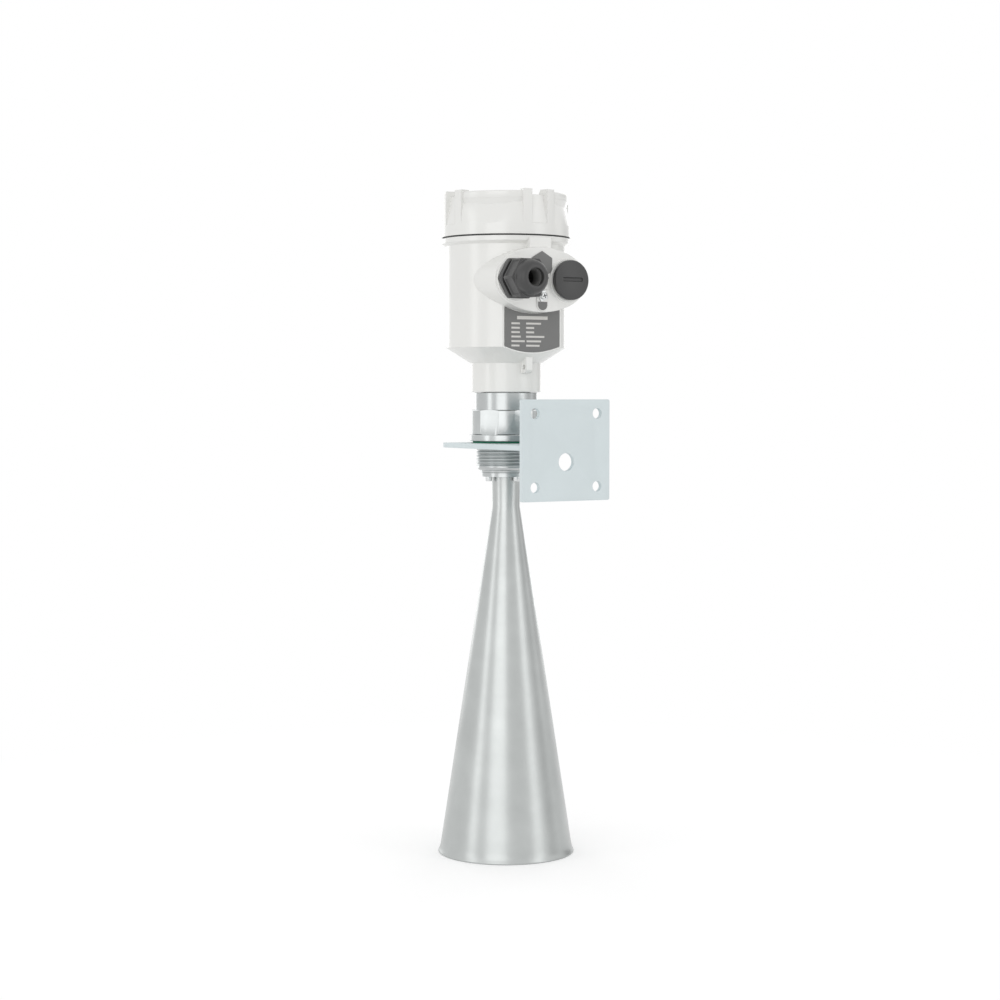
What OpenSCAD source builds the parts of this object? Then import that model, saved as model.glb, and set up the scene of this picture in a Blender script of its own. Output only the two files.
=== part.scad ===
// Radar level transmitter with a horn antenna, a swivelling single-chamber
// housing and a wall bracket.
//
// Frame: millimetres, +Z up. The origin is the centre of the four wall holes, on the
// outer face of the wall plate. -Y points out of that face, towards the wall. The
// sensor's own axis is vertical and stands behind the plate, at y = axis_reach.

/* [Bracket] */
// Width of the wall plate and of the leg, along X
plate_w = 60; // [56:0.5:80]
// Height of the wall plate
plate_h = 59; // [56:0.5:90]
// Thickness of the wall plate
plate_t = 3; // [2:0.1:5]
// Rounding of the wall plate's corners
plate_corner = 1.2; // [0.5:0.1:6]
// Distance from the wall face to the sensor axis
axis_reach = 68; // [67:0.5:90]
// Length of the leg behind the sensor axis
leg_back = 24.5; // [23:0.5:40]
// Thickness of the leg
leg_t = 3; // [2:0.1:5]
// Diameter of the four wall holes
wall_hole_d = 6.2; // [4:0.1:9]
// Distance between the wall holes, across and up
wall_hole_gap = 42.6; // [36:0.2:46]
// Diameter of the middle hole, just under the leg
middle_hole_d = 10.5; // [6:0.1:11]
// Distance of the middle hole below the middle of the plate
middle_hole_drop = 6.8; // [6:0.1:9]
// Leg length of the weld fillets between plate and leg
weld_size = 1.6; // [0.8:0.1:3]

/* [Process fitting] */
// Outer diameter of the process thread
thread_d = 36; // [35:0.1:38]
// Length of the process thread below the leg
thread_l = 11.5; // [8:0.1:20]
// Diameter of the plain ring under the thread
ring_d = 34.2; // [32:0.1:34.8]
// Height of the plain ring
ring_h = 3.3; // [3:0.1:6]
// Width of the gasket's ring
gasket_w = 2.2; // [1.5:0.1:3.5]
// Thickness of the gasket
gasket_t = 1.2; // [0.8:0.1:2]
// Diameter of the collar above the gasket
collar_d = 43.8; // [43.4:0.1:50]
// Height of the collar
collar_h = 3.9; // [3:0.1:8]
// Width of the hexagon across its flats
hex_af = 41; // [40:0.1:42]
// Height of the hexagon
hex_h = 15; // [12:0.5:24]
// Diameter to which the corners of the hexagon are turned
hex_turned_d = 43; // [42.2:0.1:43.2]
// Diameter of the polished stem
stem_d = 38.2; // [36:0.1:39]
// Height of the polished stem
stem_h = 10.4; // [6:0.1:30]

/* [Swivel] */
// Diameter of the spigot that the housing turns on
spigot_d = 30; // [28:0.1:31]
// Radial clearance of the spigot in the housing
swivel_fit = 0.05; // [0.02:0.01:0.1]
// Gap between the stem's shoulder and the housing
swivel_gap = 0.25; // [0.1:0.05:0.5]
// Radial gap between the retaining ring and the neck
retainer_gap = 0.6; // [0.4:0.1:1]
// Thickness of the retaining ring
retainer_t = 1.8; // [1:0.1:2.4]
// Diameter of the microwave module inside the stem
module_d = 20; // [14:0.5:20.4]

/* [Antenna] */
// Outer diameter of the horn's mouth, above its rim
mouth_d = 80.2; // [60:0.2:90]
// Outer diameter of the rim
rim_d = 83; // [82.4:0.2:94]
// Height of the flared rim
rim_h = 4.3; // [3:0.1:8]
// Outer diameter of the horn's throat
throat_d = 17; // [15.5:0.1:17.5]
// Length of the horn's cone
cone_l = 207.4; // [120:0.2:260]
// Length of the feed tube below the antenna flange
tube_l = 18; // [12:0.5:40]
// Outer diameter of the feed tube at its top
tube_d = 17.8; // [17.5:0.1:18.6]
// Wall of the horn at its mouth
horn_wall = 1.5; // [0.8:0.1:2.5]
// Inside diameter of the waveguide
guide_d = 12; // [8:0.1:12.4]
// Wall of the waveguide liner in the process fitting
liner_wall = 1; // [0.6:0.1:1.4]
// Length of the feed cone inside the horn
feed_l = 34; // [10:0.5:50]
// Diameter of the antenna flange
antenna_flange_d = 30.4; // [30:0.1:32]
// Thickness of the antenna flange
antenna_flange_t = 2.5; // [2:0.1:5]
// Diameter of the circle of flange screws
screw_circle_d = 24.6; // [24:0.1:25.6]
// Thread diameter of the flange screws
flange_screw_d = 2.5; // [2:0.1:3]
// Head diameter of the flange screws
flange_head_d = 4.2; // [3.8:0.1:4.8]
// Head height of the flange screws
flange_head_h = 2.8; // [1.5:0.1:4]

/* [Housing] */
// Radial distance from the spigot to the outside of the neck
neck_w = 6.5; // [6:0.1:8]
// Height of the neck
neck_h = 17.4; // [15:0.1:30]
// Height of the conical shoulder
shoulder_h = 9.2; // [7:0.1:14]
// Outer diameter of the body
body_d = 72.4; // [72:0.1:76]
// Height of the body, from the shoulder to the flange
body_h = 61; // [60:0.5:80]
// Diameter of the flange under the lid
flange_d = 77.2; // [76.8:0.1:82]
// Height of the flange's straight edge
flange_h = 2.9; // [2:0.1:6]
// Height of the taper under the flange
flange_taper = 1.5; // [0.8:0.1:3]
// Wall of the neck and of the upper compartment
wall = 3.7; // [3.2:0.1:4]
// Distance of the name plate's flat from the housing axis
flat_reach = 29.9; // [29.5:0.1:31]
// Thickness of the web that turns on the spigot
web_t = 7.5; // [5:0.1:8]
// Height of the lid thread above the flange
lid_thread_h = 8; // [7:0.1:9]
// Width of the lanyard ear on the neck
ear_w = 4.6; // [3:0.1:8]
// Distance of the ear's front from the housing axis
ear_reach = 27; // [26:0.1:29]
// Diameter of the hole through the ear
ear_hole_d = 2.8; // [2:0.1:3.2]
// Height of the ear's hole above the foot of the neck
ear_rise = 14.8; // [13:0.1:16]

/* [Entry boss] */
// Width of the oval boss
boss_w = 64.6; // [64:0.1:68]
// Height of the oval boss
boss_h = 38.4; // [37:0.1:42]
// Distance of the boss's face from the housing axis
boss_reach = 40.8; // [40.2:0.1:50]
// Rounding of the boss's front edge
boss_edge = 1; // [0.4:0.1:2]
// Wall of the boss
boss_wall = 4; // [3:0.1:4.5]
// Height of the entries above the shoulder
entry_rise = 39.5; // [38:0.5:44]
// Distance between the two cable entries
entry_gap = 36.4; // [35:0.1:37]
// Thread diameter of the cable entries
entry_d = 20; // [18:0.1:20.6]
// Diameter of the round pad about each entry
pad_d = 25.6; // [25:0.1:27]
// Height of the round pads
pad_h = 1.2; // [0.6:0.1:2]
// Width of the bridge between boss and flange
bridge_w = 15.2; // [10:0.1:20]

/* [Lid] */
// Outer diameter of the lid
lid_d = 78; // [77.4:0.1:82]
// Thickness of the seal under the lid
seal_t = 0.9; // [0.6:0.1:1.2]
// Height of the plain band above the seal
band_h = 6.6; // [5:0.1:8]
// Height of the grip lugs above the band
lug_h = 20; // [19:0.1:24]
// Width of one grip lug
lug_w = 5.6; // [5:0.1:6.5]
// Angle between the two lugs of a pair
lug_angle = 23.6; // [22:0.2:25]
// Depth of the lip behind the lug faces
lip_inset = 1.4; // [1:0.1:1.8]
// Drop of the lip's top below the lug tops
lip_drop = 1.1; // [0.6:0.1:2]
// Height of the lip at its thinnest
lip_h = 3.4; // [3:0.1:4]
// Slope of the grip scallops, in degrees from upright
scallop_slope = 10; // [9:0.5:12]
// Height over which the lip leans out above the scallops
lip_rise = 2; // [1.5:0.1:2.5]
// Depth of the dished top
dish_depth = 2.6; // [1.5:0.1:3]
// Thickness of the lid's top
lid_top_t = 2.6; // [2:0.1:3.5]
// Radial clearance of the lid's thread
lid_fit = 0.3; // [0.2:0.05:0.4]

/* [Cable gland] */
// Width of the gland body's hexagon across its flats
gland_af = 23; // [22.4:0.1:24]
// Thickness of the gland body's hexagon
gland_hex_h = 3.8; // [3:0.1:6]
// Width of the gland nut across its flats
nut_af = 22; // [21:0.1:22.4]
// Length of the gland nut's hexagon
nut_hex_l = 9.8; // [8:0.1:12]
// Length of the gland nut's dome
dome_l = 6.4; // [5:0.1:8]
// Diameter of the hole in the gland nut
nut_hole_d = 10.4; // [9:0.1:11]
// Diameter of the cable hole in the gland's rubber seal
cable_d = 8.4; // [5:0.1:8.8]
// Thickness of the gland's washer
gland_washer_t = 0.6; // [0.4:0.1:1.2]
// Gap between gland body and nut
nut_gap = 1.6; // [1:0.1:2.5]

/* [Blanking plug] */
// Diameter of the plug's head
plug_d = 23.6; // [23:0.1:24.4]
// Thickness of the head's straight edge
plug_edge_h = 2.6; // [1.5:0.1:4]
// Rise of the head's dome
plug_dome = 1.2; // [0.6:0.1:2]
// Length of the plug's shank
plug_shank_l = 7.5; // [5:0.1:8]
// Thickness of the plug's washer
plug_washer_t = 1; // [0.6:0.1:1.5]

/* [Ground terminal and labels] */
// Width of the ground pad
ground_pad_w = 7.4; // [7:0.1:8.4]
// Height of the ground pad
ground_pad_h = 0.9; // [0.5:0.1:1.4]
// Distance of the ground screw below the entries
ground_drop = 9.6; // [9.4:0.1:10]
// Head diameter of the ground screw
ground_head_d = 4.4; // [4:0.1:5]
// Thread diameter of the ground screw
ground_screw_d = 2.6; // [2:0.1:3]
// Side of the square clamp under the ground screw
clamp_side = 5.4; // [5:0.1:6]
// Thickness of the clamp
clamp_t = 0.9; // [0.6:0.1:1.2]
// Width of the hexagonal badge across its flats
badge_af = 13.8; // [12:0.1:14]
// Rise of the badge's middle above the entries
badge_rise = 8.8; // [8.4:0.1:9.4]
// Thickness of the badge and of the name plate
label_t = 0.5; // [0.3:0.1:0.8]
// Bare margin round the name plate
label_margin = 0.8; // [0.5:0.1:2]
// Bare strip of the flat at each side of the name plate
label_side = 1.3; // [1:0.1:2]

/* [Hidden] */
$fn = 96;
eps = 0.01;
through = 200;
fit = 0.05;

// Heights of the stack on the sensor axis
leg_z = 0;
leg_top = leg_z + leg_t;
collar_z = leg_top + gasket_t;
hex_z = collar_z + collar_h;
stem_z = hex_z + hex_h;
stem_top = stem_z + stem_h;
neck_z = stem_top + swivel_gap;
shoulder_z = neck_z + neck_h;
body_z = shoulder_z + shoulder_h;
flange_z = body_z + body_h + flange_taper;
seat_z = flange_z + flange_h;
lid_z = seat_z + seal_t;
band_top = lid_z + band_h;
lid_top = band_top + lug_h;
lip_top = lid_top - lip_drop;
thread_z = leg_z - thread_l;
ring_z = thread_z - ring_h;
tube_z = ring_z - antenna_flange_t;
throat_z = tube_z - tube_l;
mouth_z = throat_z - cone_l;
rim_z = mouth_z - rim_h;

// Inside of the process fitting and of the stem
liner_d = guide_d + 2 * liner_wall;
socket_d = spigot_d - 4;
socket_h = 8;
socket_z = stem_z - socket_h;
module_z = hex_z + 2;
spigot_h = web_t + retainer_t + 2;
spigot_top = stem_top + spigot_h;
recess_d = antenna_flange_d - 12.6;
recess_h = 1.6;
feed_point_l = 11;
seal_ring_d = recess_d + 2.6;
seal_ring_w = 1;
seal_ring_h = 0.8;

// Inside of the housing
neck_d = spigot_d + 2 * neck_w;
neck_cavity_d = neck_d - 2 * wall;
web_top = neck_z + web_t;
retainer_z = web_top + 0.3;
retainer_d = neck_cavity_d - 2 * retainer_gap;
cavity_d = body_d - 2 * wall - 1;
lower_cavity_d = 2 * (flat_reach - 3.3);
entry_z = body_z + entry_rise;
step_z = entry_z - 14;
lid_thread_d = flange_d - 7.2;
collar_bore_d = lid_thread_d - 5.5;
cup_floor_z = body_z + 3;
cup_flange_t = 3;
deck_z = step_z + cup_flange_t;
deck_d = cavity_d - 1;
ear_hole_z = neck_z + ear_rise;
lead_d = 3.2;
lead_hole_d = 6;
block_w = 34;
block_d = 11;
block_h = 9;
block_y = 6;
poles = 6;

// Entry boss and what is screwed into it
entry_x = entry_gap / 2;
pad_y = boss_reach + pad_h;
boss_front_wall = 5;
gland_y = pad_y + gland_washer_t;
gland_front = gland_y + gland_hex_h;
nut_y = gland_front + nut_gap;
nut_front = nut_y + nut_hex_l;
nose_y = nut_front + dome_l;
gland_barrel_d = 17;
gland_bore_d = 12;
seal_y = nut_y + 6.2;
seal_flange_l = 3;
seal_gap = 0.2;
plug_y = pad_y + plug_washer_t;
ground_z = entry_z - ground_drop;
ground_pad_r = ground_pad_w / 2;
ground_pad_z = entry_z - boss_h / 2 + ground_pad_r + 0.6;
ground_label_d = ground_pad_w - 1.2;
ground_y = boss_reach + ground_pad_h;
ground_head_h = 1.7;
clamp_turn = 22;
ground_shank_l = 3.6;
badge_z = entry_z + badge_rise;

// Lid
lid_r = lid_d / 2;
lid_thread_r = lid_thread_d / 2 + lid_fit;
lid_step_z = seat_z + lid_thread_h + 0.8;
crease_z = lip_top - lip_h - 2.1;
scallop_depth = (crease_z - band_top) * tan(scallop_slope);
lip_z = crease_z + lip_rise;
dish_z = lid_top - dish_depth - lip_drop;
dish_r = lid_r - 6;
lid_cavity_r = lid_r - scallop_depth - 3.8;
lug_edge = 0.5;
lip_edge = 0.9;
pocket_depth = 3.2;
notch_z = crease_z + 3.4;

// Colours
white_coat = "#ecece9";
polished_steel = "#c9cccd";
bracket_steel = "#d2dcde";
horn_steel = "#d8dada";
gasket_green = "#2c5f4c";
dark_plastic = "#4a4a4a";
label_grey = "#777777";
black_rubber = "#262626";
bright_screw = "#e2e4e4";
ptfe_white = "#f4f4f0";
brass = "#c9a86a";
board_green = "#2f6b3f";

// Everything that stands on the sensor's axis is drawn about x = y = 0
module on_axis() {
    translate([0, axis_reach, 0]) children();
}

// Points a piece drawn along +Z out of the boss's face, with its foot at distance y
module out_of_boss(x, z, y) {
    translate([x, -y, z]) rotate([90, 0, 0]) children();
}

// Half-section of a rod with a rounded upper edge, for rotate_extrude
module rod_section(r, h, edge) {
    square([r, h - edge]);
    square([r - edge, h]);
    translate([r - edge, h - edge]) circle(edge, $fn = 48);
}

// Upright rod with a rounded upper edge
module rounded_rod(r, h, edge) {
    rotate_extrude() intersection() {
        rod_section(r, h, edge);
        square([r, h]);
    }
}

module tube(outer_r, inner_r, h) {
    difference() {
        cylinder(r = outer_r, h = h);
        translate([0, 0, -eps]) cylinder(r = inner_r, h = h + 2 * eps);
    }
}

module hexagon_rod(af, h) {
    cylinder(d = af / cos(30), h = h, $fn = 6);
}

// Elliptical rod, long along X, with a rounded upper edge
module oval_rod(w, height, h, edge) {
    scale([1, height / w, 1]) rounded_rod(w / 2, h, edge);
}

// ---- Bracket ----

module wall_holes() {
    for (x = [-1, 1], z = [-1, 1])
        translate([x * wall_hole_gap / 2, -eps, z * wall_hole_gap / 2])
            rotate([-90, 0, 0]) cylinder(d = wall_hole_d, h = plate_t + 2 * eps);
}

module wall_plate() {
    color(bracket_steel) difference() {
        union() {
            translate([-plate_w / 2, 0, plate_corner - plate_h / 2])
                cube([plate_w, plate_t, plate_h - 2 * plate_corner]);
            translate([plate_corner - plate_w / 2, 0, -plate_h / 2])
                cube([plate_w - 2 * plate_corner, plate_t, plate_h]);
            for (x = [-1, 1], z = [-1, 1])
                translate([
                    x * (plate_w / 2 - plate_corner), 0, z * (plate_h / 2 - plate_corner)
                ])
                    rotate([-90, 0, 0]) cylinder(r = plate_corner, h = plate_t);
        }
        wall_holes();
        translate([0, -eps, -middle_hole_drop])
            rotate([-90, 0, 0]) cylinder(d = middle_hole_d, h = plate_t + 2 * eps);
    }
}

module bracket_leg() {
    color(bracket_steel) difference() {
        translate([-plate_w / 2, plate_t, leg_z])
            cube([plate_w, axis_reach + leg_back - plate_t, leg_t]);
        translate([0, axis_reach, leg_z - eps])
            cylinder(d = thread_d + 2 * fit, h = leg_t + 2 * eps);
    }
}

// One fillet above the leg and one below it
module bracket_weld() {
    color(bracket_steel)
        translate([-plate_w / 2 + 2, plate_t, 0]) rotate([90, 0, 90])
            linear_extrude(plate_w - 4) {
                translate([0, leg_top])
                    polygon([[0, 0], [weld_size, 0], [0, weld_size]]);
                translate([0, leg_z])
                    polygon([[0, 0], [0, -weld_size], [weld_size, 0]]);
            }
}

// ---- Process fitting and swivel ----

module gasket() {
    color(gasket_green) on_axis() translate([0, 0, leg_top])
        tube(thread_d / 2 + gasket_w, thread_d / 2 + fit, gasket_t);
}

module fitting_hexagon() {
    turned_r = hex_turned_d / 2;
    intersection() {
        hexagon_rod(hex_af, hex_h);
        rotate_extrude() polygon([
            [0, 0], [turned_r, 0], [turned_r, hex_h - 1.2],
            [hex_af / 2 - 0.5, hex_h], [0, hex_h]
        ]);
    }
}

module process_fitting() {
    color(polished_steel) on_axis() difference() {
        union() {
            translate([0, 0, ring_z + ring_h]) mirror([0, 0, 1])
                rounded_rod(ring_d / 2, ring_h, 0.8);
            translate([0, 0, thread_z]) cylinder(d = thread_d, h = collar_z - thread_z);
            translate([0, 0, collar_z]) rounded_rod(collar_d / 2, collar_h, 0.5);
            translate([0, 0, hex_z]) fitting_hexagon();
        }
        translate([0, 0, ring_z - eps]) cylinder(d = recess_d, h = recess_h + eps);
        translate([0, 0, ring_z]) cylinder(d = liner_d + 2 * fit, h = module_z - ring_z);
        translate([0, 0, module_z]) cylinder(d = module_d + 2 * fit, h = through);
        translate([0, 0, socket_z]) cylinder(d = socket_d + 2 * fit, h = through);
        translate([0, 0, ring_z - eps])
            tube(seal_ring_d / 2 + seal_ring_w / 2, seal_ring_d / 2 - seal_ring_w / 2,
                 seal_ring_h + eps);
        translate([0, 0, ring_z - eps]) flange_screw_pattern()
            cylinder(d = flange_screw_d + 2 * fit, h = 5);
    }
}

module swivel_stem() {
    color(polished_steel) on_axis() difference() {
        union() {
            translate([0, 0, socket_z]) cylinder(d = socket_d, h = socket_h + eps);
            translate([0, 0, stem_z]) rounded_rod(stem_d / 2, stem_h, 0.4);
            translate([0, 0, stem_top - eps]) cylinder(d = spigot_d, h = spigot_h + eps);
        }
        translate([0, 0, socket_z - eps]) cylinder(d = module_d + 2 * fit, h = through);
    }
}

// Split ring that keeps the housing on the spigot
module swivel_retainer() {
    color(bright_screw) on_axis() translate([0, 0, retainer_z]) difference() {
        tube(retainer_d / 2, spigot_d / 2 + fit, retainer_t);
        translate([0, -1.5, -eps]) cube([retainer_d, 3, retainer_t + 2 * eps]);
    }
}

module microwave_module() {
    color(brass) on_axis() translate([0, 0, module_z])
        rounded_rod(module_d / 2, spigot_top - module_z - 1, 0.8);
}

// ---- Antenna ----

module flange_screw_pattern() {
    for (turn = [0 : 90 : 270])
        rotate([0, 0, turn]) translate([screw_circle_d / 2, 0, 0]) children();
}

module waveguide_liner() {
    color(brass) on_axis() translate([0, 0, ring_z + recess_h])
        tube(liner_d / 2, guide_d / 2, module_z - ring_z - recess_h);
}

// Launches the microwaves: a point up the waveguide and a long cone down the horn
module feed_cone() {
    core_r = guide_d / 2 - fit;
    color(ptfe_white) on_axis() rotate_extrude() polygon([
        [0, throat_z - feed_l],
        [core_r, throat_z],
        [core_r, ring_z],
        [recess_d / 2 - fit, ring_z],
        [recess_d / 2 - fit, ring_z + recess_h],
        [core_r, ring_z + recess_h],
        [core_r, ring_z + recess_h + 3],
        [0, ring_z + recess_h + 3 + feed_point_l]
    ]);
}

module antenna_seal() {
    color(black_rubber) on_axis() translate([0, 0, ring_z])
        tube(seal_ring_d / 2 + seal_ring_w / 2 - fit, seal_ring_d / 2 - seal_ring_w / 2 + fit,
             seal_ring_h);
}

module antenna_flange() {
    color(polished_steel) on_axis() translate([0, 0, tube_z]) difference() {
        rounded_rod(antenna_flange_d / 2, antenna_flange_t, 0.3);
        translate([0, 0, -eps])
            cylinder(d = tube_d + 2 * fit, h = antenna_flange_t + 2 * eps);
        translate([0, 0, -eps]) flange_screw_pattern()
            cylinder(d = flange_screw_d + 0.3, h = antenna_flange_t + 2 * eps);
    }
}

module flange_screws() {
    socket_depth = flange_head_h * 0.55;
    color(bright_screw) on_axis() translate([0, 0, tube_z]) flange_screw_pattern()
        difference() {
            union() {
                cylinder(d = flange_screw_d, h = antenna_flange_t + 4.4);
                mirror([0, 0, 1]) rounded_rod(flange_head_d / 2, flange_head_h, 0.4);
            }
            translate([0, 0, -flange_head_h - eps])
                hexagon_rod(flange_head_d * 0.45, socket_depth + eps);
        }
}

// Feed tube, cone and rolled rim in one spun piece
module horn() {
    guide_r = guide_d / 2;
    mouth_r = mouth_d / 2;
    rim_r = rim_d / 2;
    color(horn_steel) on_axis() rotate_extrude() {
        polygon([
            [guide_r, ring_z], [tube_d / 2, ring_z], [tube_d / 2, tube_z],
            [throat_d / 2, throat_z],
            [mouth_r, mouth_z],
            [mouth_r + (rim_r - mouth_r) * 0.35, mouth_z - rim_h * 0.22],
            [rim_r, mouth_z - rim_h * 0.62], [rim_r, rim_z + 0.4], [rim_r - 0.4, rim_z],
            [rim_r - horn_wall, rim_z], [rim_r - horn_wall, mouth_z - rim_h * 0.62],
            [mouth_r - horn_wall, mouth_z],
            [guide_r, throat_z]
        ]);
    }
}

// ---- Housing ----

module housing_outline() {
    rotate_extrude() polygon([
        [0, neck_z], [neck_d / 2 - 0.4, neck_z], [neck_d / 2, neck_z + 0.4],
        [neck_d / 2, shoulder_z], [body_d / 2, body_z],
        [body_d / 2, flange_z - flange_taper], [flange_d / 2, flange_z],
        [flange_d / 2, seat_z], [lid_thread_d / 2, seat_z],
        [lid_thread_d / 2, seat_z + lid_thread_h - 0.6],
        [lid_thread_d / 2 - 0.6, seat_z + lid_thread_h], [0, seat_z + lid_thread_h]
    ]);
}

module housing_cavity() {
    rotate_extrude() polygon([
        [0, web_top], [neck_cavity_d / 2, web_top], [neck_cavity_d / 2, shoulder_z - 1],
        [lower_cavity_d / 2, cup_floor_z], [lower_cavity_d / 2, step_z],
        [cavity_d / 2, step_z], [cavity_d / 2, flange_z - 4],
        [collar_bore_d / 2, flange_z - 2], [collar_bore_d / 2, seat_z + lid_thread_h + 1],
        [0, seat_z + lid_thread_h + 1]
    ]);
}

// The flat that carries the name plate, up to the underside of the boss
module name_plate_flat() {
    translate([-body_d / 2, -body_d, shoulder_z])
        cube([body_d, body_d - flat_reach, entry_z - shoulder_z]);
}

// Oval boss, its two round pads, the ground pad and the bridge to the flange
module entry_boss() {
    out_of_boss(0, entry_z, 0)
        oval_rod(boss_w, boss_h, boss_reach, boss_edge);
    for (x = [-entry_x, entry_x])
        out_of_boss(x, entry_z, boss_reach - 2) rounded_rod(pad_d / 2, pad_h + 2, 0.4);
    out_of_boss(0, ground_pad_z, boss_reach - 1)
        rounded_rod(ground_pad_r, ground_pad_h + 1, 0.2);
    translate([-ground_pad_r, -ground_y, ground_pad_z])
        cube([ground_pad_w, ground_pad_h + 1, ground_z - ground_pad_z + ground_pad_r]);
    translate([-bridge_w / 2, 1.4 - boss_reach, entry_z])
        cube([bridge_w, boss_reach / 2, seat_z - 0.8 - entry_z]);
}

module boss_cavity() {
    cavity_reach = boss_reach - boss_front_wall;
    out_of_boss(0, entry_z, 0)
        oval_rod(boss_w - 2 * boss_wall, boss_h - 2 * boss_wall, cavity_reach, 1);
    for (x = [-entry_x, entry_x])
        out_of_boss(x, entry_z, cavity_reach - 2) cylinder(d = entry_d, h = through);
}

// Ear for the lanyard of a lid or a tag, rounded at its lower front corner
module lanyard_ear() {
    corner = ear_hole_d / 2 + 1;
    low_z = ear_hole_z - corner - 1.2;
    difference() {
        union() {
            translate([-ear_w / 2, -ear_reach, low_z + corner])
                cube([ear_w, ear_reach - neck_d / 2 + 2, body_z - low_z - corner - 5.5]);
            translate([-ear_w / 2, corner - ear_reach, low_z])
                cube([ear_w, ear_reach - neck_d / 2 + 2 - corner, corner + 1]);
            translate([-ear_w / 2, corner - ear_reach, low_z + corner])
                rotate([0, 90, 0]) cylinder(r = corner, h = ear_w);
        }
        translate([-through / 2, corner - ear_reach, ear_hole_z])
            rotate([0, 90, 0]) cylinder(d = ear_hole_d, h = through);
    }
}

module housing() {
    color(white_coat) on_axis() difference() {
        union() {
            difference() {
                housing_outline();
                name_plate_flat();
            }
            entry_boss();
            lanyard_ear();
        }
        housing_cavity();
        boss_cavity();
        translate([0, 0, neck_z - eps])
            cylinder(d = spigot_d + 2 * swivel_fit, h = web_t + 2 * eps);
        out_of_boss(0, ground_z, ground_y - ground_shank_l - 0.4)
            cylinder(d = ground_screw_d + 0.2, h = through);
    }
}

// Follows the edges of its flat: straight sides, the boss above, the shoulder below
module name_plate() {
    label_half_w = sqrt((body_d / 2) ^ 2 - flat_reach ^ 2) - label_side;
    color(label_grey) on_axis() difference() {
        intersection() {
            translate([-body_d / 2, -flat_reach - label_t, shoulder_z])
                cube([body_d, label_t, entry_z - shoulder_z]);
            translate([0, 0, shoulder_z + label_margin]) union() {
                cylinder(r1 = neck_d / 2, r2 = body_d / 2, h = shoulder_h);
                translate([0, 0, shoulder_h]) cylinder(d = body_d, h = body_h);
            }
            translate([-label_half_w, -through / 2, 0]) cube([2 * label_half_w, through, through]);
        }
        out_of_boss(0, entry_z, 0)
            oval_rod(boss_w + label_margin, boss_h + label_margin, through, boss_edge);
    }
}

// Plain hexagon on the boss's face, cut back from the two pads
module badge() {
    color(label_grey) on_axis() difference() {
        out_of_boss(0, badge_z, boss_reach) rotate([0, 0, 30])
            hexagon_rod(badge_af, label_t);
        for (x = [-entry_x, entry_x])
            out_of_boss(x, entry_z, 0) cylinder(d = pad_d + 0.4, h = through);
    }
}

// Round below, with its upper edge cut back from the clamp
module ground_label() {
    label_r = ground_label_d / 2;
    color(label_grey) on_axis() difference() {
        out_of_boss(0, ground_pad_z, ground_y) union() {
            cylinder(r = label_r, h = 0.3);
            translate([-label_r, 0, 0]) cube([2 * label_r, ground_z - ground_pad_z, 0.3]);
        }
        out_of_boss(0, ground_z, boss_reach) rotate([0, 0, clamp_turn])
            translate([-clamp_side / 2 - 0.3, -clamp_side / 2 - 0.3, 0])
                cube([clamp_side + 0.6, clamp_side + 0.6, through]);
        translate([-through / 2, -through, ground_z - clamp_side * 0.65])
            cube([through, through, through]);
    }
}

// ---- Electronics ----

module electronics_cup() {
    cup_r = lower_cavity_d / 2 - 0.3;
    color(dark_plastic) on_axis() difference() {
        union() {
            translate([0, 0, cup_floor_z + 0.3])
                cylinder(r = cup_r, h = step_z - cup_floor_z - 0.3 + eps);
            translate([0, 0, step_z]) cylinder(d = deck_d, h = cup_flange_t);
        }
        translate([0, 0, cup_floor_z + 2.3])
            cylinder(r = cup_r - 2, h = step_z - cup_floor_z - 4.3);
        translate([0, 0, cup_floor_z]) cylinder(d = lead_hole_d, h = 3);
    }
}

// Round board that closes the electronics cup from inside
module electronics_board() {
    color(board_green) on_axis() translate([0, 0, cup_floor_z + 2.3])
        tube(lower_cavity_d / 2 - 2.6, lead_hole_d / 2, 1.6);
}

module terminal_block() {
    pole_w = block_w / poles;
    color(dark_plastic) on_axis() translate([-block_w / 2, block_y, deck_z]) difference() {
        cube([block_w, block_d, block_h]);
        for (i = [0 : poles - 1]) translate([pole_w * (i + 0.5), 0, 0]) {
            translate([0, block_d / 2, block_h - 3]) cylinder(d = 3.6, h = 4);
            translate([-1.6, -eps, 1.5]) cube([3.2, 4, 3.2]);
        }
    }
}

module terminal_screws() {
    pole_w = block_w / poles;
    color(bright_screw) on_axis() for (i = [0 : poles - 1])
        translate([pole_w * (i + 0.5) - block_w / 2, block_y + block_d / 2, deck_z + block_h - 3])
            difference() {
                cylinder(d = 3.3, h = 2);
                translate([-2, -0.3, 1.2]) cube([4, 0.6, 1]);
            }
}

// Lead from the microwave module up into the electronics cup
module signal_cable() {
    color(black_rubber) on_axis() translate([0, 0, spigot_top - 0.7])
        cylinder(d = lead_d, h = cup_floor_z + 2.3 - spigot_top + 0.7);
}

// ---- Lid ----

module lid_seal() {
    color(black_rubber) on_axis() translate([0, 0, seat_z])
        tube(flange_d / 2 - 0.3, lid_thread_r, seal_t);
}

// Turned blank: the lugs are what the cutters leave of its outside
module lid_blank() {
    translate([0, 0, lid_z]) rounded_rod(lid_r, lid_top - lid_z, lug_edge);
}

// All of the blank that lies above and outside the lip
module outside_lip() {
    difference() {
        translate([0, 0, lip_z]) cylinder(r = lid_r + 2, h = lid_top + 1 - lip_z);
        translate([0, 0, lip_z - 1])
            rounded_rod(lid_r - lip_inset, lip_top + 1 - lip_z, lip_edge);
    }
}

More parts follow.
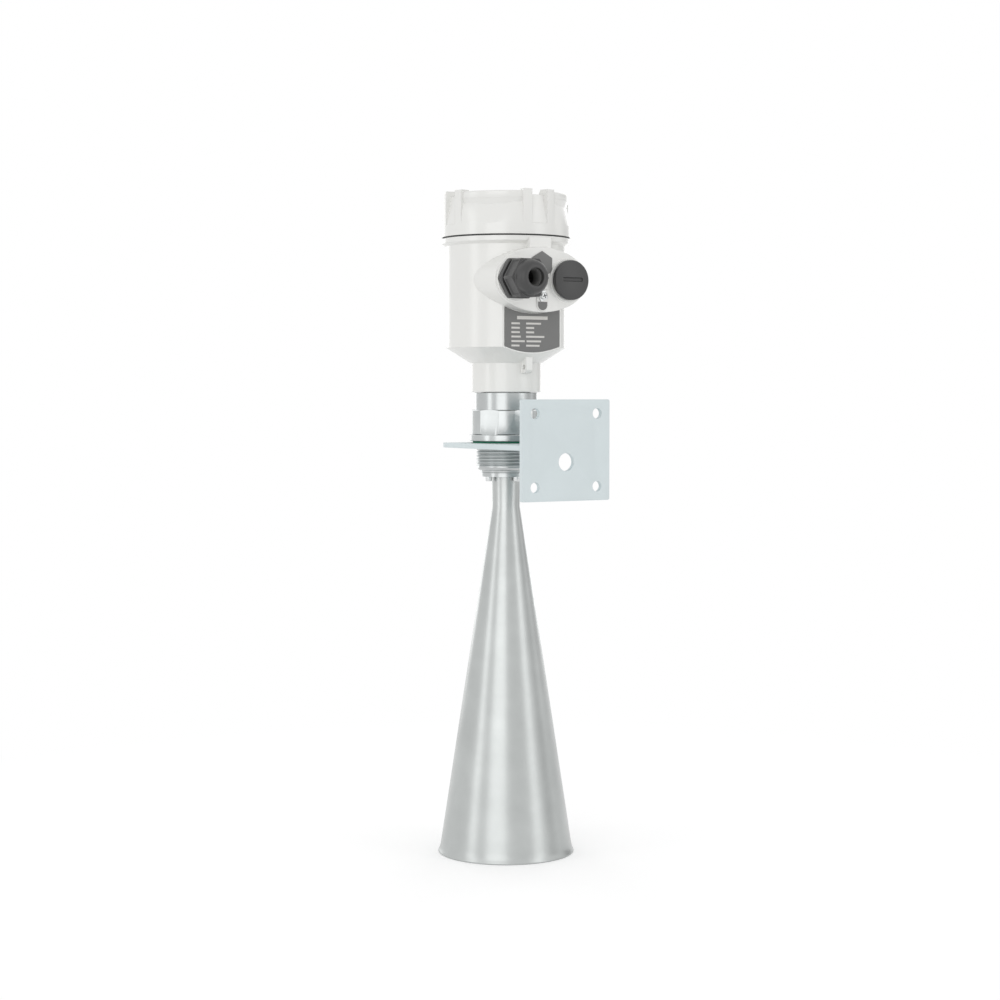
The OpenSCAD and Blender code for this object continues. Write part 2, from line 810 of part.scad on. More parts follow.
// Dished top, threaded mouth and the free space over the terminals
module lid_hollows() {
    translate([0, 0, dish_z])
        cylinder(r1 = dish_r - 2, r2 = dish_r, h = lid_top - dish_z + eps);
    translate([0, 0, lid_z - eps]) cylinder(r = lid_thread_r, h = lid_step_z - lid_z + eps);
    translate([0, 0, lid_z]) cylinder(r = lid_cavity_r, h = dish_z - lid_top_t - lid_z);
}

// Space between the facing sides of two lugs that stand `apart` degrees apart, about +X
module between_lugs(apart) {
    intersection() {
        rotate([0, 0, -apart / 2])
            translate([0, lug_w / 2, band_top - 2]) cube([lid_d, lid_d, lug_h + 4]);
        rotate([0, 0, apart / 2])
            translate([0, -lid_d - lug_w / 2, band_top - 2]) cube([lid_d, lid_d, lug_h + 4]);
    }
}

// Turned recess between two pairs of lugs: it leans in up to the crease and out to the lip
module grip_scallop() {
    intersection() {
        union() {
            rotate_extrude() polygon([
                [lid_r, band_top], [lid_r - scallop_depth, crease_z], [lid_r - lip_inset, lip_z],
                [lid_r + 2, lip_z], [lid_r + 2, band_top]
            ]);
            outside_lip();
        }
        between_lugs(90 - lug_angle);
    }
}

// Upright slot between the two lugs of a pair, with the lip open above it
module lug_pocket() {
    intersection() {
        rotate_extrude() polygon([
            [lid_r - 0.3, band_top], [lid_r + 2, band_top], [lid_r + 2, lid_top + 1],
            [dish_r - 3, lid_top + 1], [dish_r - 3, notch_z], [lid_r - pocket_depth, notch_z]
        ]);
        between_lugs(lug_angle);
    }
}

module lid() {
    color(white_coat) on_axis() difference() {
        lid_blank();
        for (turn = [45 : 90 : 315]) rotate([0, 0, turn]) grip_scallop();
        for (turn = [0 : 90 : 270]) rotate([0, 0, turn]) lug_pocket();
        lid_hollows();
    }
}

// ---- Cable gland ----

module gland_washer() {
    color(black_rubber) on_axis() out_of_boss(-entry_x, entry_z, pad_y)
        tube(gland_af / 2 - 0.6, entry_d / 2 + 0.1, gland_washer_t);
}

module gland_body() {
    shank_l = pad_h + boss_front_wall + gland_washer_t + 1;
    color(dark_plastic) on_axis() out_of_boss(-entry_x, entry_z, gland_y) difference() {
        union() {
            translate([0, 0, -shank_l]) cylinder(d = entry_d - 2 * fit, h = shank_l + eps);
            intersection() {
                hexagon_rod(gland_af, gland_hex_h);
                rounded_rod(gland_af / 2 / cos(30) - 0.3, gland_hex_h, 0.8);
            }
            cylinder(d = gland_barrel_d, h = seal_y - gland_y - 0.3);
        }
        translate([0, 0, -shank_l - eps]) cylinder(d = gland_bore_d, h = through);
    }
}

// Rubber sleeve that grips the cable inside the nut
module gland_seal() {
    sleeve_l = nose_y - 2.4 - seal_y;
    color(black_rubber) on_axis() out_of_boss(-entry_x, entry_z, seal_y) difference() {
        union() {
            cylinder(d = gland_barrel_d - 1, h = seal_flange_l);
            cylinder(d = nut_hole_d + 2, h = sleeve_l);
        }
        translate([0, 0, -eps]) cylinder(d = cable_d, h = through);
    }
}

// Hexagon with a sunk panel in each flat, and a dome that ends in a lipped hole
module gland_nut() {
    dome_r = nut_af / 2 - 0.4;
    lip_r = nut_hole_d / 2 + 1;
    panel = [nut_af / 2 * tan(30) * 2 - 3, nut_hex_l - 3.2, 0.7];
    color(dark_plastic) on_axis() out_of_boss(-entry_x, entry_z, nut_y) difference() {
        union() {
            intersection() {
                hexagon_rod(nut_af, nut_hex_l);
                cylinder(r1 = nut_af / 2 / cos(30) + 1.2, r2 = nut_af / 2 + 0.4, h = nut_hex_l);
            }
            translate([0, 0, nut_hex_l]) rotate_extrude() difference() {
                union() {
                    intersection() {
                        translate([dome_r - dome_l * 1.15, 0])
                            circle(dome_l * 1.15, $fn = 96);
                        square([dome_r, dome_l - 0.3]);
                    }
                    square([lip_r, dome_l]);
                }
            }
        }
        for (turn = [0 : 60 : 300])
            rotate([0, 0, turn + 30])
                translate([nut_af / 2 - panel.z, -panel.x / 2, 1])
                    cube([2, panel.x, panel.y]);
        translate([0, 0, -eps]) cylinder(d = gland_barrel_d + 0.6, h = seal_y - nut_y + seal_flange_l + seal_gap);
        cylinder(d = nut_hole_d + 2.6, h = nose_y - nut_y - 2.1);
        cylinder(d = nut_hole_d, h = through);
    }
}

// ---- Blanking plug ----

module plug_washer() {
    color(black_rubber) on_axis() out_of_boss(entry_x, entry_z, pad_y)
        tube(plug_d / 2 - 0.6, entry_d / 2 + 0.1, plug_washer_t);
}

// Screw plug with a domed head and a slot for a broad blade
module blanking_plug() {
    head_r = plug_d / 2;
    dome_ball_r = (head_r ^ 2 + plug_dome ^ 2) / (2 * plug_dome);
    color(dark_plastic) on_axis() out_of_boss(entry_x, entry_z, plug_y) difference() {
        union() {
            translate([0, 0, -plug_shank_l - plug_washer_t])
                cylinder(d = entry_d - 2 * fit, h = plug_shank_l + plug_washer_t + eps);
            cylinder(r = head_r, h = plug_edge_h);
            intersection() {
                translate([0, 0, plug_edge_h + plug_dome - dome_ball_r])
                    sphere(r = dome_ball_r, $fn = 180);
                cylinder(r = head_r, h = plug_edge_h + plug_dome);
            }
        }
        translate([0, 0, -plug_shank_l - plug_washer_t - eps])
            cylinder(d = entry_d - 5, h = plug_shank_l + 1);
        translate([-5.5, -3.4, plug_edge_h + plug_dome - 1])
            cube([11, 1, 2]);
    }
}

// ---- Ground terminal ----

module ground_clamp() {
    color(bright_screw) on_axis() out_of_boss(0, ground_z, ground_y) difference() {
        rotate([0, 0, clamp_turn]) translate([-clamp_side / 2, -clamp_side / 2, 0])
            cube([clamp_side, clamp_side, clamp_t]);
        translate([0, 0, -eps]) cylinder(d = ground_screw_d + 0.3, h = clamp_t + 2 * eps);
    }
}

module ground_screw() {
    recess = ground_head_d * 0.62;
    color(bright_screw) on_axis() out_of_boss(0, ground_z, ground_y + clamp_t) difference() {
        union() {
            rounded_rod(ground_head_d / 2, ground_head_h, 0.6);
            translate([0, 0, -ground_shank_l]) cylinder(d = ground_screw_d, h = ground_shank_l + eps);
        }
        for (turn = [0, 90]) rotate([0, 0, turn + 20])
            translate([-recess / 2, -0.3, ground_head_h - 0.9]) cube([recess, 0.6, 1]);
    }
}

wall_plate();
bracket_leg();
bracket_weld();
gasket();
process_fitting();
swivel_stem();
swivel_retainer();
microwave_module();
waveguide_liner();
feed_cone();
antenna_seal();
antenna_flange();
flange_screws();
horn();
housing();
name_plate();
badge();
ground_label();
electronics_cup();
electronics_board();
terminal_block();
terminal_screws();
signal_cable();
gland_body();
gland_washer();
lid_seal();
lid();
gland_seal();
gland_nut();
plug_washer();
blanking_plug();
ground_clamp();
ground_screw();
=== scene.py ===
import math

import bpy
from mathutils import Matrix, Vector


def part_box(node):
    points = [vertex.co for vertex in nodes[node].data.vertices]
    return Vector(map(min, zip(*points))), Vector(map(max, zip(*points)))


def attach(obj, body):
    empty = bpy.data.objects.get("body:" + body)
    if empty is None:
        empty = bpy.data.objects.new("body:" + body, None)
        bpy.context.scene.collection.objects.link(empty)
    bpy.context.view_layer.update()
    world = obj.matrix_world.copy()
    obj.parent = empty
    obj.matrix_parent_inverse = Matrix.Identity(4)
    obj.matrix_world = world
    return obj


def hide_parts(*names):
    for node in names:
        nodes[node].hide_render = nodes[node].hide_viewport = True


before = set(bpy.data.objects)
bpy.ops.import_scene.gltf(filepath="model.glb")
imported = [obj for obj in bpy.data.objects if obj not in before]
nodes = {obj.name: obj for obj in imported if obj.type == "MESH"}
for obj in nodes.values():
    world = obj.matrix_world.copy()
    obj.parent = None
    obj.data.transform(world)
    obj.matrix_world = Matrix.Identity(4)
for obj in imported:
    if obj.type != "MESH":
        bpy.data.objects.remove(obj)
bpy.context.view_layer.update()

# ---- Sizes, in metres ----
MM = 0.001
AXIS_Y = sum(corner.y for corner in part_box("horn")) / 2
FLOOR_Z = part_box("horn")[0].z


# ---- Shader node helpers ----

def new_group(name, inputs, outputs):
    """A shader node group with float or colour sockets, and its input and output nodes."""
    group = bpy.data.node_groups.new(name, "ShaderNodeTree")
    for socket, kind, default in inputs:
        made = group.interface.new_socket(socket, in_out="INPUT", socket_type=kind)
        made.default_value = default
    for socket, kind in outputs:
        group.interface.new_socket(socket, in_out="OUTPUT", socket_type=kind)
    return group, group.nodes.new("NodeGroupInput"), group.nodes.new("NodeGroupOutput")


FLOAT = "NodeSocketFloat"
COLOUR = "NodeSocketColor"


def math_node(tree, operation, first, second=None, clamp=False):
    made = tree.nodes.new("ShaderNodeMath")
    made.operation = operation
    made.use_clamp = clamp
    for slot, value in enumerate((first, second)):
        if value is None:
            continue
        if isinstance(value, bpy.types.NodeSocket):
            tree.links.new(value, made.inputs[slot])
        else:
            made.inputs[slot].default_value = value
    return made.outputs[0]


def ramp_value(tree, value, low, high, out_low=0.0, out_high=1.0):
    made = tree.nodes.new("ShaderNodeMapRange")
    made.clamp = True
    tree.links.new(value, made.inputs["Value"])
    made.inputs["From Min"].default_value = low
    made.inputs["From Max"].default_value = high
    made.inputs["To Min"].default_value = out_low
    made.inputs["To Max"].default_value = out_high
    return made.outputs["Result"]


def mix_colour(tree, factor, first, second):
    made = tree.nodes.new("ShaderNodeMix")
    made.data_type = "RGBA"
    for slot, value in ((0, factor), (6, first), (7, second)):
        if isinstance(value, bpy.types.NodeSocket):
            tree.links.new(value, made.inputs[slot])
        else:
            made.inputs[slot].default_value = value
    return made.outputs[2]


def object_place(tree):
    return tree.nodes.new("ShaderNodeTexCoord").outputs["Object"]


def noise(tree, place, scale, detail=2.0, rough=0.5):
    made = tree.nodes.new("ShaderNodeTexNoise")
    tree.links.new(place, made.inputs["Vector"])
    if isinstance(scale, bpy.types.NodeSocket):
        tree.links.new(scale, made.inputs["Scale"])
    else:
        made.inputs["Scale"].default_value = scale
    made.inputs["Detail"].default_value = detail
    made.inputs["Roughness"].default_value = rough
    return made.outputs["Fac"]


# ---- Shared effects ----

def grain_group():
    """Fine even grain of a coat or a moulding: its height, and a slow drift of shade."""
    group, given, result = new_group(
        "fine_grain",
        [("Grain Scale", FLOAT, 900.0), ("Drift Scale", FLOAT, 30.0)],
        [("Height", FLOAT), ("Drift", FLOAT)],
    )
    place = object_place(group)
    height = noise(group, place, given.outputs["Grain Scale"], 1.5, 0.45)
    drift = noise(group, place, given.outputs["Drift Scale"], 3.0, 0.55)
    group.links.new(height, result.inputs["Height"])
    group.links.new(drift, result.inputs["Drift"])
    return group


def turning_group():
    """Fine rings that a lathe leaves round the sensor's axis, and slow blotches of shade."""
    group, given, result = new_group(
        "turning_lines",
        [("Line Scale", FLOAT, 2500.0), ("Blotch Scale", FLOAT, 60.0)],
        [("Lines", FLOAT), ("Blotch", FLOAT)],
    )
    place = object_place(group)
    parts = group.nodes.new("ShaderNodeSeparateXYZ")
    group.links.new(place, parts.inputs[0])
    along = group.nodes.new("ShaderNodeCombineXYZ")
    group.links.new(math_node(group, "MULTIPLY", parts.outputs["X"], 0.02), along.inputs["X"])
    group.links.new(math_node(group, "MULTIPLY", parts.outputs["Y"], 0.02), along.inputs["Y"])
    group.links.new(parts.outputs["Z"], along.inputs["Z"])
    lines = noise(group, along.outputs[0], given.outputs["Line Scale"], 3.0, 0.6)
    blotch = noise(group, place, given.outputs["Blotch Scale"], 3.0, 0.55)
    group.links.new(lines, result.inputs["Lines"])
    group.links.new(blotch, result.inputs["Blotch"])
    return group


def edge_group():
    """Mask of the outer edges, from how far a rounded normal leans from the true one; materials paint
    highlights and shade along it.
    """
    group, given, result = new_group(
        "edge_mask",
        [("Edge Width", FLOAT, 0.0004), ("Strength", FLOAT, 1.0)],
        [("Mask", FLOAT)],
    )
    rounded = group.nodes.new("ShaderNodeBevel")
    rounded.samples = 8
    group.links.new(given.outputs["Edge Width"], rounded.inputs["Radius"])
    true = group.nodes.new("ShaderNodeNewGeometry")
    dot = group.nodes.new("ShaderNodeVectorMath")
    dot.operation = "DOT_PRODUCT"
    group.links.new(rounded.outputs[0], dot.inputs[0])
    group.links.new(true.outputs["Normal"], dot.inputs[1])
    lean = math_node(group, "SUBTRACT", 1.0, dot.outputs["Value"])
    # Ramp of the lean, which the materials use to paint edge highlights and edge shade.
    painted_edge_shading = ramp_value(group, lean, 0.02, 0.25)
    mask = math_node(group, "MULTIPLY", painted_edge_shading, given.outputs["Strength"], True)
    group.links.new(mask, result.inputs["Mask"])
    return group


GRAIN = grain_group()
TURNING = turning_group()
EDGES = edge_group()


def place_group(tree, group, **values):
    made = tree.nodes.new("ShaderNodeGroup")
    made.node_tree = group
    for socket, value in values.items():
        made.inputs[socket.replace("_", " ")].default_value = value
    return made


def rgb(code):
    """A colour written as on a paint card, in Blender's linear values."""
    parts = [int(code[i:i + 2], 16) / 255 for i in (1, 3, 5)]
    linear = [p / 12.92 if p <= 0.04045 else ((p + 0.055) / 1.055) ** 2.4 for p in parts]
    return tuple(linear) + (1.0,)


def shaded(tone, factor):
    """A tone made darker or lighter by a factor, no lighter than white."""
    return tuple(min(c * factor, 1.0) for c in rgb(tone)[:3]) + (1.0,)


def new_material(name, metallic, roughness):
    made = bpy.data.materials.new(name)
    made.use_nodes = True
    shader = made.node_tree.nodes["Principled BSDF"]
    shader.inputs["Metallic"].default_value = metallic
    shader.inputs["Roughness"].default_value = roughness
    return made, made.node_tree, shader


def bump(tree, shader, height, distance, rounding=None):
    """Relief on a material, over edges that look rounded where a rounding is given."""
    made = tree.nodes.new("ShaderNodeBump")
    made.inputs["Distance"].default_value = distance
    tree.links.new(height, made.inputs["Height"])
    if rounding:
        soft = tree.nodes.new("ShaderNodeBevel")
        soft.samples = 8
        soft.inputs["Radius"].default_value = rounding
        tree.links.new(soft.outputs[0], made.inputs["Normal"])
    tree.links.new(made.outputs[0], shader.inputs["Normal"])


def grained_material(name, tone, roughness, grain_scale, grain_depth, painted_edge_tone,
                     edge_width=0.4, drift=0.03, rounding=0.4, metallic=0.0):
    """Paint, plastic, rubber or fibre: an even grain, a slow drift of shade, and edges painted in a
    second tone: a painted highlight where it is lighter, painted shade where it is darker.
    """
    made, tree, shader = new_material(name, metallic, roughness)
    grain = place_group(tree, GRAIN, Grain_Scale=grain_scale, Drift_Scale=35.0)
    edges = place_group(tree, EDGES, Edge_Width=edge_width * MM, Strength=0.6)
    dark, light = shaded(tone, 1 - drift), shaded(tone, 1 + drift)
    face = mix_colour(tree, ramp_value(tree, grain.outputs["Drift"], 0.35, 0.65), dark, light)
    # Painted light along the edges: a highlight where the edge tone is lighter than the face, shade where
    # it is darker.
    painted_edge_shading = mix_colour(tree, edges.outputs["Mask"], face, rgb(painted_edge_tone))
    tree.links.new(painted_edge_shading, shader.inputs["Base Color"])
    rough = ramp_value(tree, grain.outputs["Height"], 0.3, 0.7, roughness - 0.02, roughness + 0.02)
    tree.links.new(rough, shader.inputs["Roughness"])
    bump(tree, shader, grain.outputs["Height"], grain_depth * MM, rounding * MM if rounding else None)
    return made


def turned_material(name, tone, roughness, line_scale, line_depth, spread=0.05):
    """Bare metal with the lathe's lines round it."""
    made, tree, shader = new_material(name, 1.0, roughness)
    turning = place_group(tree, TURNING, Line_Scale=line_scale, Blotch_Scale=45.0)
    dark, light = shaded(tone, 0.94), shaded(tone, 1.05)
    face = mix_colour(tree, ramp_value(tree, turning.outputs["Blotch"], 0.3, 0.7), dark, light)
    tree.links.new(face, shader.inputs["Base Color"])
    rough = ramp_value(tree, turning.outputs["Lines"], 0.3, 0.7, roughness - spread, roughness + spread)
    tree.links.new(rough, shader.inputs["Roughness"])
    bump(tree, shader, turning.outputs["Lines"], line_depth * MM)
    return made


# ---- Finishes ----

# The second tone of each grained finish paints its edges: lighter ones are painted highlights, the
# bracket's darker one is painted shade; the white coat's equals its face tone.
powder_coat = grained_material("white_powder_coat", "#ebebe8", 0.22, 950.0, 0.002, "#ebebe8",
                               0.3, 0.006, 0.5)
powder_coat.node_tree.nodes["Principled BSDF"].inputs["Specular IOR Level"].default_value = 1.0
bracket_coat = grained_material("blue_grey_bracket_coat", "#d9e3e5", 0.5, 1500.0, 0.008, "#c3cfd1",
                                0.4, 0.015, 0)
weld_metal = grained_material("weld_metal", "#aeb6b8", 0.42, 700.0, 0.05, "#c8cfd0", 0.3, 0.08, 0.2, 0.6)
dark_moulding = grained_material("dark_grey_moulding", "#404040", 0.36, 1400.0, 0.006, "#7c7c7a",
                                 0.3, 0.03, 0)
sleeve_rubber = grained_material("grey_rubber", "#626261", 0.55, 1200.0, 0.01, "#747473", 0.3, 0.04, 0)
label_grey = grained_material("grey_label", "#777776", 0.45, 1800.0, 0.004, "#8a8a89", 0.2, 0.01, 0)
label_white = grained_material("white_print", "#d9d7d3", 0.5, 1800.0, 0.002, "#e2e0dc", 0.1, 0.02, 0)
rubber = grained_material("black_rubber", "#2a2a2a", 0.6, 1200.0, 0.01, "#484848", 0.3, 0.05, 0.2)
gasket_fibre = grained_material("green_gasket_fibre", "#2f8265", 0.75, 1600.0, 0.02, "#3a8f72",
                                0.15, 0.08, 0.1)
ptfe = grained_material("white_ptfe", "#ecece6", 0.4, 600.0, 0.006, "#f6f6f2", 0.3, 0.02, 0.3)
board_green = grained_material("circuit_board_green", "#2f6b3f", 0.4, 500.0, 0.01, "#5c8a62",
                               0.2, 0.1, 0.1)
turned_steel = turned_material("turned_steel", "#b9bcbc", 0.24, 1400.0, 0.0003, 0.015)
thread_steel = turned_material("thread_steel", "#b6baba", 0.3, 1400.0, 0.0003, 0.015)
spun_steel = turned_material("spun_horn_steel", "#b8bbba", 0.3, 700.0, 0.0003, 0.015)
screw_nickel = turned_material("bright_nickel", "#d6d8d8", 0.3, 2000.0, 0.0004)
# Dark nickel for the screw's cross recess: painted shade inside the recess.
painted_shade_nickel = turned_material("shadowed_nickel", "#5d6262", 0.5, 2000.0, 0.0004)
brass = turned_material("brass", "#c3a163", 0.3, 2600.0, 0.001)

FINISHES = {
    powder_coat: ["housing", "lid"],
    bracket_coat: ["wall_plate", "bracket_leg"],
    weld_metal: ["bracket_weld"],
    dark_moulding: ["gland_body", "gland_nut", "blanking_plug", "electronics_cup", "terminal_block"],
    label_grey: ["name_plate", "badge", "ground_label"],
    rubber: ["lid_seal", "gland_seal", "gland_washer", "plug_washer", "antenna_seal", "signal_cable"],
    gasket_fibre: ["gasket"],
    ptfe: ["feed_cone"],
    board_green: ["electronics_board"],
    turned_steel: ["process_fitting", "swivel_stem", "antenna_flange"],
    spun_steel: ["horn"],
    screw_nickel: ["flange_screws", "swivel_retainer", "terminal_screws", "ground_clamp", "ground_screw"],
    brass: ["microwave_module", "waveguide_liner"],
}
for finish, dressed in FINISHES.items():
    for name in dressed:
        nodes[name].data.materials.clear()
        nodes[name].data.materials.append(finish)


# ---- Modelling helpers: sizes in millimetres ----

def nothing_selected():
    bpy.ops.object.select_all(action="DESELECT")


def in_metres(point):
    return tuple(p * MM for p in point)


def named(name, finish):
    """Names the active object and gives it its finish."""
    piece = bpy.context.object
    piece.name = piece.data.name = name
    piece.data.materials.clear()
    piece.data.materials.append(finish)
    return piece


def only(piece):
    nothing_selected()
    piece.select_set(True)
    bpy.context.view_layer.objects.active = piece


def chain(points):
    """A chain of edges in the X-Z plane, drawn by extruding one corner again and again."""
    nothing_selected()
    bpy.ops.mesh.primitive_plane_add(size=MM, location=(0, 0, 0))
    bpy.ops.object.mode_set(mode="EDIT")
    bpy.ops.mesh.select_mode(type="VERT")
    bpy.ops.mesh.select_all(action="SELECT")
    bpy.ops.mesh.merge(type="CENTER")
    bpy.ops.transform.translate(value=in_metres((points[0][0], 0, points[0][1])))
    for (r1, z1), (r2, z2) in zip(points, points[1:]):
        step = in_metres((r2 - r1, 0, z2 - z1))
        bpy.ops.mesh.extrude_region_move(TRANSFORM_OT_translate={"value": step})


def cleaned():
    """Merges doubles and turns the faces outwards, in edit mode."""
    bpy.ops.mesh.select_all(action="SELECT")
    bpy.ops.mesh.remove_doubles(threshold=0.0005 * MM)
    bpy.ops.mesh.normals_make_consistent(inside=False)


def turned(name, finish, points, sides=96):
    """A piece turned about Z from its half-section; points run (radius, height)."""
    chain(points)
    bpy.ops.mesh.select_all(action="SELECT")
    bpy.ops.mesh.spin(steps=sides, angle=2 * math.pi, center=(0, 0, 0), axis=(0, 0, 1))
    cleaned()
    bpy.ops.object.mode_set(mode="OBJECT")
    return named(name, finish)


def ring_section(inner, points):
    """Closes an outer profile into the section of a ring."""
    return [(inner, points[0][1])] + points + [(inner, points[-1][1]), (inner, points[0][1])]


def arc(cx, cz, r, start, end, steps=5):
    """Points on a quarter or other arc, angles in degrees from the radius direction."""
    turns = [math.radians(start + (end - start) * i / steps) for i in range(steps + 1)]
    return [(cx + r * math.cos(t), cz + r * math.sin(t)) for t in turns]


def modified(piece, kind, **values):
    """Adds a modifier with its settings and applies it."""
    only(piece)
    made = piece.modifiers.new(kind.lower(), kind)
    for setting, value in values.items():
        setattr(made, setting, value)
    bpy.ops.object.modifier_apply(modifier=made.name)


def rounded_edges(piece, width, segments=2, angle=30):
    modified(piece, "BEVEL", width=width * MM, segments=segments, limit_method="ANGLE",
             angle_limit=math.radians(angle), use_clamp_overlap=True, miter_outer="MITER_ARC")


def cut_by(piece, *tools, operation="DIFFERENCE"):
    """Cuts a piece with other pieces, which are used up."""
    for tool in tools:
        modified(piece, "BOOLEAN", object=tool, operation=operation, solver="EXACT")
        only(tool)
        bpy.ops.object.delete()
    only(piece)


def rod(radius, low, high, sides, turn=0.0):
    """A plain rod along Z, to be worked on."""
    nothing_selected()
    bpy.ops.mesh.primitive_cylinder_add(
        vertices=sides, radius=radius * MM, depth=(high - low) * MM,
        location=in_metres((0, 0, (low + high) / 2)), rotation=(0, 0, math.radians(turn)))
    bpy.ops.object.transform_apply(location=True, rotation=True)
    return bpy.context.object


def block(low, high):
    """A plain block between two opposite corners, to be worked on."""
    nothing_selected()
    centre = [(a + b) / 2 for a, b in zip(low, high)]
    bpy.ops.mesh.primitive_cube_add(size=1.0, location=in_metres(centre))
    bpy.context.object.scale = in_metres([b - a for a, b in zip(low, high)])
    bpy.ops.object.transform_apply(location=True, scale=True)
    return bpy.context.object


def joined(name, finish, pieces):
    """Makes one piece of several, each of which keeps its own closed shell."""
    nothing_selected()
    for piece in pieces:
        piece.select_set(True)
    bpy.context.view_layer.objects.active = pieces[0]
    bpy.ops.object.join()
    return named(name, finish)


def finished(piece, body, smooth):
    """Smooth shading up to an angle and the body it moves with."""
    only(piece)
    bpy.ops.object.shade_smooth_by_angle(angle=math.radians(smooth))
    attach(piece, body)


def out_of_boss(piece, x, z, reach):
    """Points a piece made along +Z out of the boss's face, reach from the sensor's axis."""
    only(piece)
    piece.rotation_euler = (math.radians(90), 0, 0)
    piece.location = (x * MM, AXIS_Y - reach * MM, z * MM)
    bpy.ops.object.transform_apply(location=True, rotation=True)


def on_axis(piece):
    """Moves a piece made about the origin to the sensor's axis."""
    only(piece)
    piece.location = (0, AXIS_Y, 0)
    bpy.ops.object.transform_apply(location=True)


# ---- Process fitting with its thread ----

THREAD_R, THREAD_LOW, THREAD_TOP, THREAD_PITCH, THREAD_DEPTH = 18.0, -10.9, 3.0, 2.05, 0.95
CORE = 14.5
HEX_LOW, HEX_HIGH, HEX_HALF, TURNED_R = 8.1, 23.1, 20.5, 21.5


def helical_thread():
    """One pitch of the tooth, screwed up the axis and cut off square at both ends."""
    p, r, root = THREAD_PITCH, THREAD_R, THREAD_R - THREAD_DEPTH
    low = THREAD_LOW - 2 * p
    chain([(root, low), (root + 0.08, low + 0.1 * p), (r - 0.15, low + 0.3 * p), (r, low + 0.4 * p),
           (r, low + 0.6 * p), (r - 0.15, low + 0.7 * p), (root + 0.08, low + 0.9 * p), (root, low + p)])
    bpy.ops.object.mode_set(mode="OBJECT")
    thread = bpy.context.object
    turns = int((THREAD_TOP - THREAD_LOW) / p) + 4
    modified(thread, "SCREW", axis="Z", angle=2 * math.pi, screw_offset=p * MM, iterations=turns,
             steps=72, render_steps=72, use_merge_vertices=True, merge_threshold=0.001 * MM)
    bpy.ops.object.mode_set(mode="EDIT")
    cleaned()
    for height, way in ((THREAD_LOW, -1), (THREAD_TOP, 1)):
        bpy.ops.mesh.select_all(action="SELECT")
        bpy.ops.mesh.bisect(plane_co=(0, 0, height * MM), plane_no=(0, 0, way), use_fill=True,
                            clear_outer=True)
    cleaned()
    bpy.ops.object.mode_set(mode="OBJECT")
    return thread


def fitting_hexagon():
    """A turned blank with six flats cut by planes, so each flat ends in an arch."""
    blank = turned("hexagon", turned_steel, [
        (0, HEX_LOW), (TURNED_R - 0.5, HEX_LOW), (TURNED_R, HEX_LOW + 0.4), (TURNED_R, HEX_HIGH - 0.6),
        (HEX_HALF + 0.1, HEX_HIGH), (0, HEX_HIGH)], 192)
    bpy.ops.object.mode_set(mode="EDIT")
    for side in range(6):
        turn = math.radians(60 * side + 30)
        way = Vector((math.cos(turn), math.sin(turn), 0))
        bpy.ops.mesh.select_all(action="SELECT")
        bpy.ops.mesh.bisect(plane_co=way * HEX_HALF * MM, plane_no=way, use_fill=True, clear_outer=True)
    bpy.ops.mesh.select_all(action="SELECT")
    bpy.ops.mesh.dissolve_limited(angle_limit=math.radians(0.5))
    bpy.ops.object.mode_set(mode="OBJECT")
    rounded_edges(blank, 0.22, 2, 12)
    return blank


def add_fitting():
    thread = helical_thread()
    thread.data.materials.append(thread_steel)
    ring = turned("ring", turned_steel, ring_section(CORE, [
        (15.2, -14.8), (15.5, -14.6), (15.6, -13.5), (16.2, -13.4), (16.8, -13.0), (17.2, -12.4),
        (17.4, -11.4), (17.3, -10.9), (16.9, -10.8)]))
    collar = turned("collar", turned_steel, ring_section(CORE, [
        (17.4, 2.9), (17.4, 4.2), (21.8, 4.2), (22.2, 4.5), (22.2, 7.6)] + arc(21.7, 7.6, 0.5, 15, 90)
        + [(20.4, 8.2)]))
    whole = joined("threaded_fitting", turned_steel, [fitting_hexagon(), ring, collar])
    on_axis(whole)
    on_axis(thread)
    thread.name = thread.data.name = "fitting_thread"
    finished(whole, "bracket", 25)
    finished(thread, "bracket", 50)
    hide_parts("process_fitting")
    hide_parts("process_fitting")


# ---- Name plate print ----

PLATE_FACE, PRINT_H = 30.4, 0.04
PRINT_ROWS = (
    (77.7, 2.0, ((-10.7, 10.6),)),
    (74.3, 1.1, ((-14.6, -8.7), (-4.4, 6.0))),
    (71.7, 1.1, ((-14.6, -8.7), (-4.4, 1.2))),
    (69.1, 1.1, ((-14.6, -8.7), (-4.4, 1.2))),
    (66.5, 1.1, ((-14.6, -8.1), (-4.4, 8.3))),
    (63.8, 1.1, ((-14.6, -5.3), (-4.1, 6.0))),
    (61.2, 1.1, ((-14.6, -9.0), (-4.4, 5.0))),
)


def add_print():
    """Plain raised bars in place of the plate's lines of print."""
    bars = []
    for middle, tall, spans in PRINT_ROWS:
        for left, right in spans:
            bar = block((left, -tall / 2, 0), (right, tall / 2, PRINT_H))
            rounded_edges(bar, 0.25 * tall, 3, 60)
            out_of_boss(bar, 0, middle, PLATE_FACE)
            bars.append(bar)
    finished(joined("name_plate_bars", label_white, bars), "head", 30)


# ---- Cable gland ----

ENTRY_X, ENTRY_Z = 18.2, 99.85
ENTRY_PITCH, ENTRY_RIDGES = 1.5, 5


def hexagon_block(half, low, high):
    """A hexagonal block with its corners to the left and right, to be worked on."""
    return rod(half / math.cos(math.radians(30)), low, high, 6, 30)


